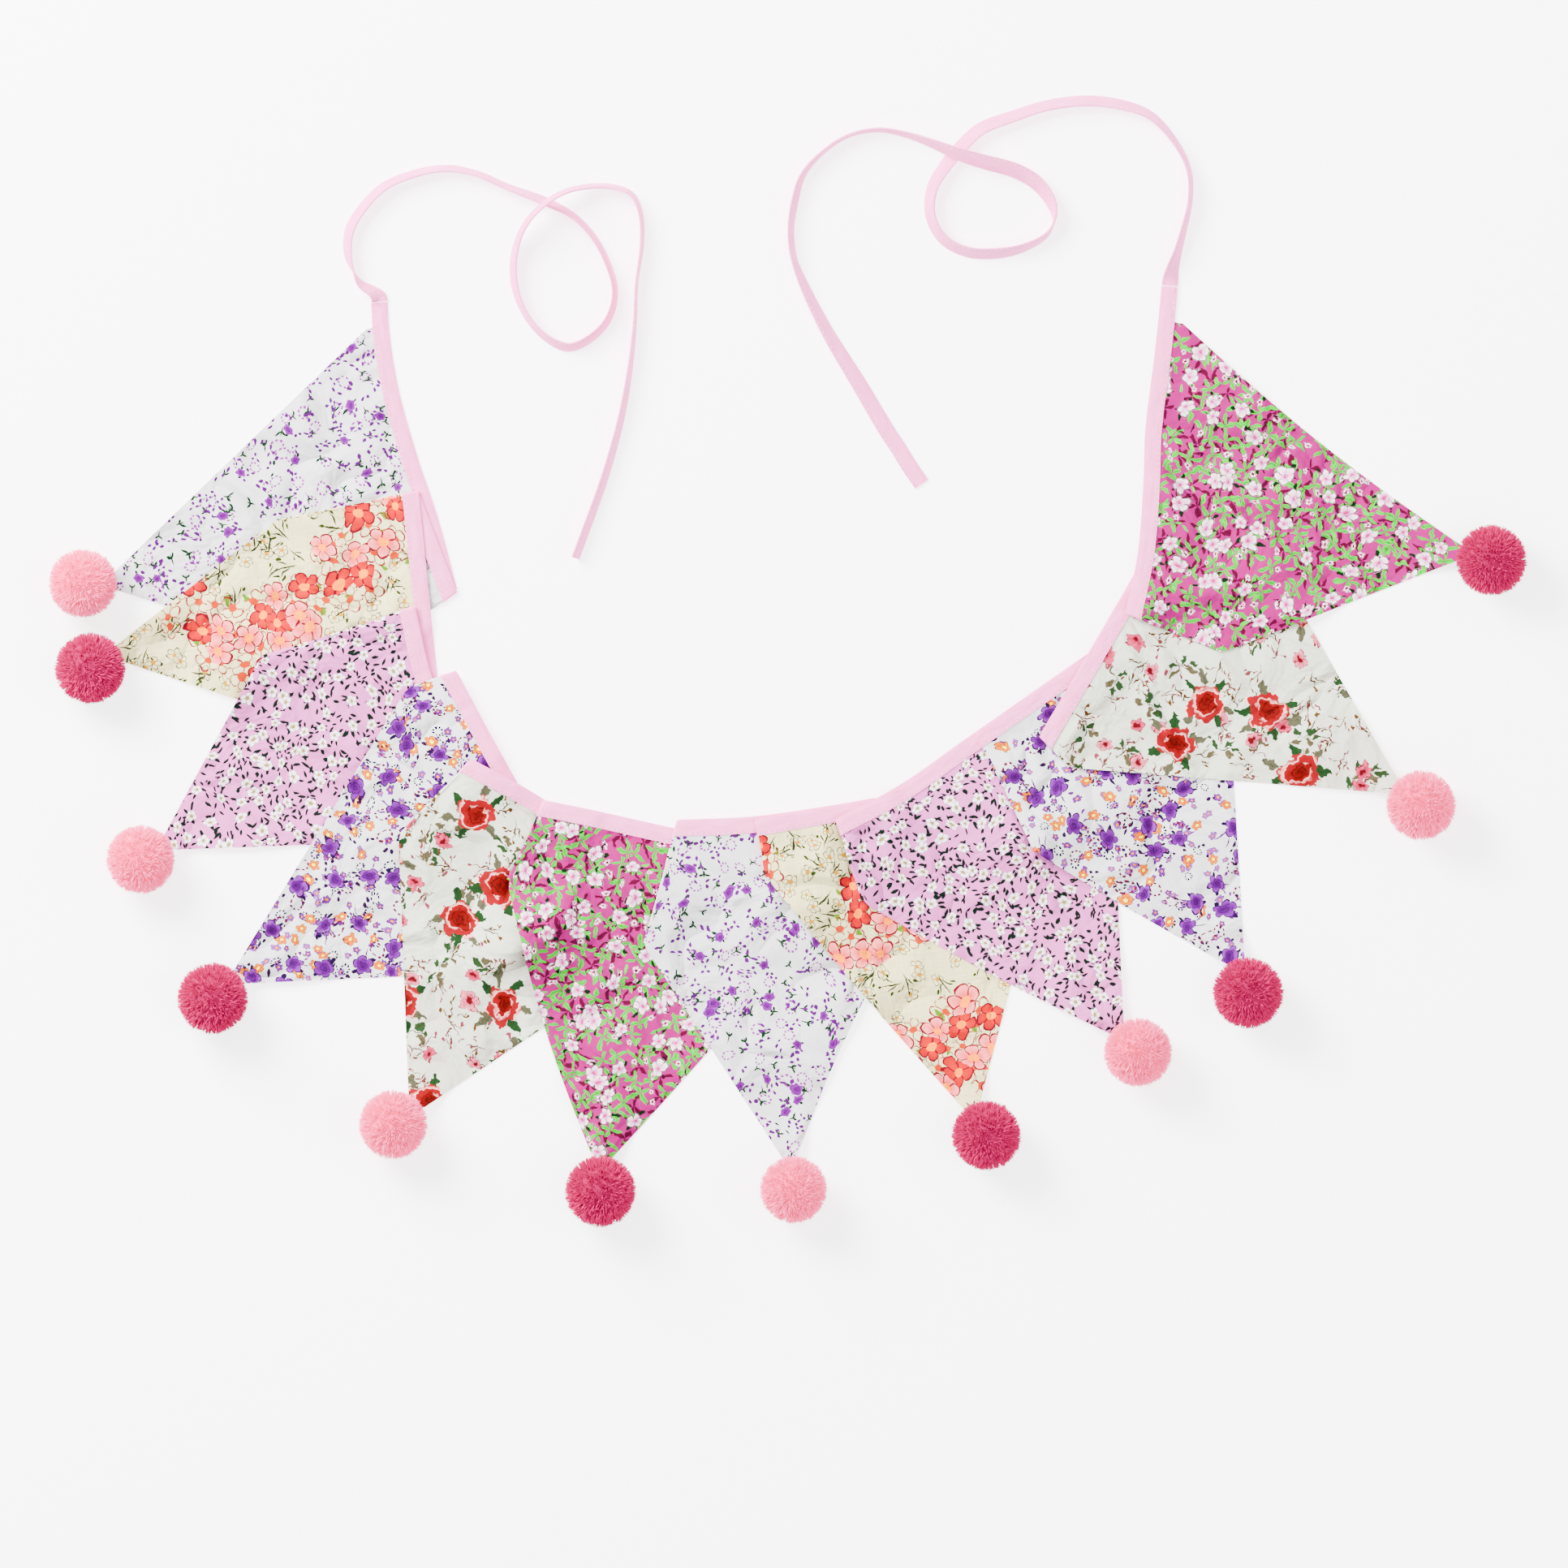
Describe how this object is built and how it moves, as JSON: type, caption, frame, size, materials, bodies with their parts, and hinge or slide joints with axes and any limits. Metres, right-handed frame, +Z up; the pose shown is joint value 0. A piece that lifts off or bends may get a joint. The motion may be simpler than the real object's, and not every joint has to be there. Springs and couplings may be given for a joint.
{
  "type": "fabric bunting",
  "caption": "String of triangular printed cotton pennants on a folded tape, with a yarn pompom at each tip and long free tie ends, laid flat in a U shape.",
  "frame": {"origin": "centre of the laid-out string's footprint, on the surface it lies on", "axes": "+X to the right along the string's widest reach, +Y from the lowest pompoms towards the tie ends, +Z up from the surface"},
  "size_m": [0.8184, 0.6263, 0.0375],
  "materials": {
    "cotton_violet_buds": "printed plain-weave cotton",
    "cotton_coral_flowers": "printed plain-weave cotton",
    "cotton_lilac_posies": "printed plain-weave cotton",
    "cotton_violet_roses": "printed plain-weave cotton",
    "cotton_red_roses": "printed plain-weave cotton",
    "cotton_lime_roses": "printed plain-weave cotton",
    "yarn_light": "pale pink cut yarn pile",
    "yarn_deep": "hot pink cut yarn pile",
    "tape": "pale pink folded bias tape"
  },
  "bodies": {
    "root": {"flag_01": "cotton_violet_buds", "pompom_01": "yarn_light", "flag_02": "cotton_coral_flowers", "pompom_02": "yarn_deep", "flag_03": "cotton_lilac_posies", "pompom_03": "yarn_light", "flag_04": "cotton_violet_roses", "pompom_04": "yarn_deep", "flag_05": "cotton_red_roses", "pompom_05": "yarn_light", "flag_06": "cotton_lime_roses", "pompom_06": "yarn_deep", "flag_07": "cotton_violet_buds", "pompom_07": "yarn_light", "flag_08": "cotton_coral_flowers", "pompom_08": "yarn_deep", "flag_09": "cotton_lilac_posies", "pompom_09": "yarn_light", "flag_10": "cotton_violet_roses", "pompom_10": "yarn_deep", "flag_11": "cotton_red_roses", "pompom_11": "yarn_light", "flag_12": "cotton_lime_roses", "pompom_12": "yarn_deep", "binding": "tape", "tie_left": "tape", "tie_right": "tape"}
  },
  "joints": []
}
